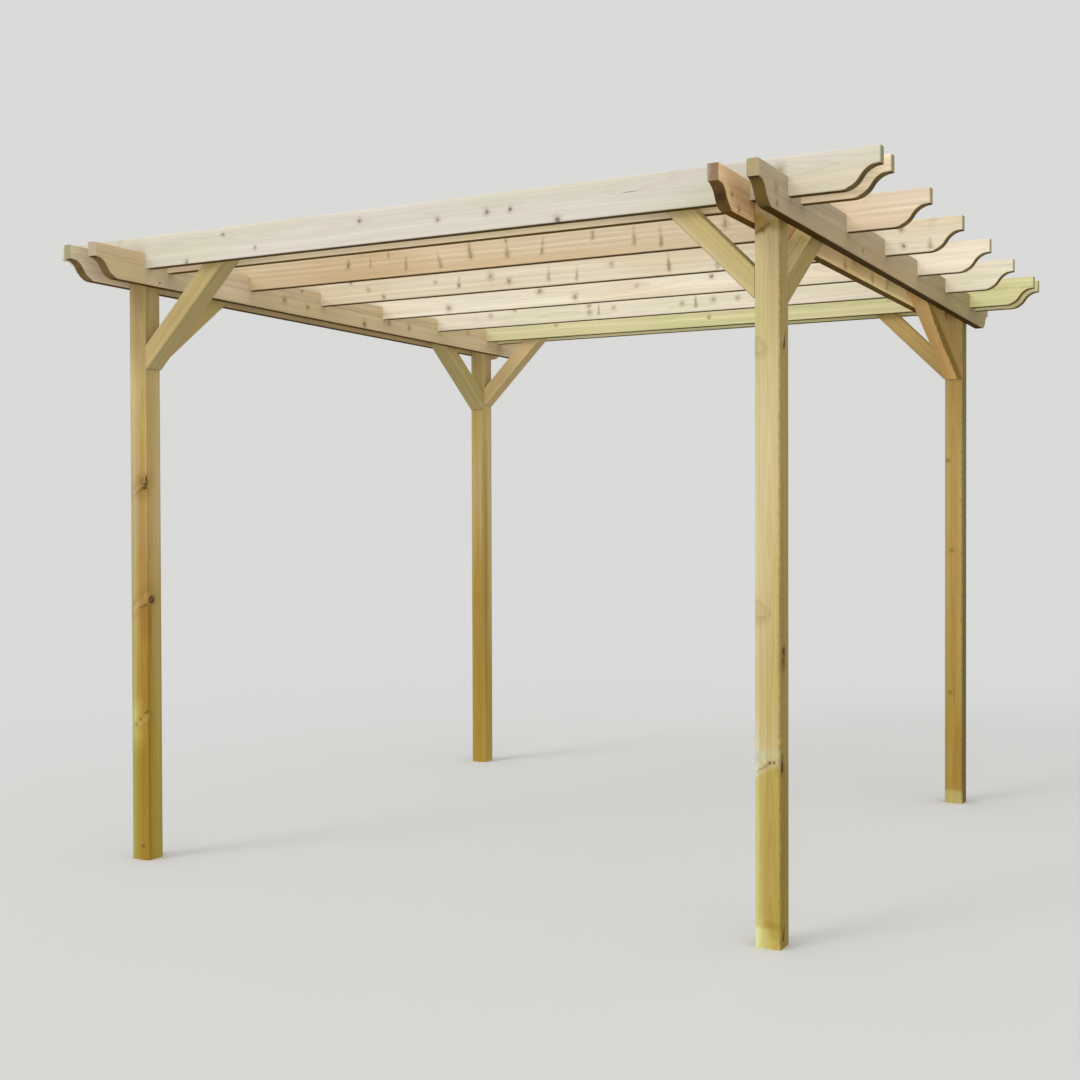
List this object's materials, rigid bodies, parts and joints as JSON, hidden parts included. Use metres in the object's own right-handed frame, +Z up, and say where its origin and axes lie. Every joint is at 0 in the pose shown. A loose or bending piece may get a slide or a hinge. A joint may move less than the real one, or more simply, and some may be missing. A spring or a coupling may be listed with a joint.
{
  "type": "garden pergola",
  "caption": "Open timber pergola: square posts carry paired side rails and halved cross rafters with S-shaped ends, stiffened by knee braces, to shade a seat or carry climbing plants.",
  "frame": {"origin": "on the ground at the middle of the plan", "axes": "+X to the right and +Y to the back when seen from the front, +Z up; the rafters run along X and the side rails along Y"},
  "size_m": [3.81, 3.8, 2.8],
  "materials": {
    "post_timber": "planed, pressure treated softwood",
    "rail_timber": "planed, pressure treated softwood",
    "rafter_timber": "planed, pressure treated softwood",
    "brace_timber": "planed, pressure treated softwood"
  },
  "bodies": {
    "root": {"front_left_post": "post_timber", "front_right_post": "post_timber", "rear_left_post": "post_timber", "rear_right_post": "post_timber", "left_outer_rail": "rail_timber", "left_inner_rail": "rail_timber", "right_inner_rail": "rail_timber", "right_outer_rail": "rail_timber", "front_outer_rafter": "rafter_timber", "front_inner_rafter": "rafter_timber", "second_rafter": "rafter_timber", "third_rafter": "rafter_timber", "fourth_rafter": "rafter_timber", "fifth_rafter": "rafter_timber", "rear_inner_rafter": "rafter_timber", "rear_outer_rafter": "rafter_timber", "front_left_cross_brace": "brace_timber", "front_left_side_brace": "brace_timber", "front_right_cross_brace": "brace_timber", "front_right_side_brace": "brace_timber", "rear_left_cross_brace": "brace_timber", "rear_left_side_brace": "brace_timber", "rear_right_cross_brace": "brace_timber", "rear_right_side_brace": "brace_timber"}
  },
  "joints": []
}
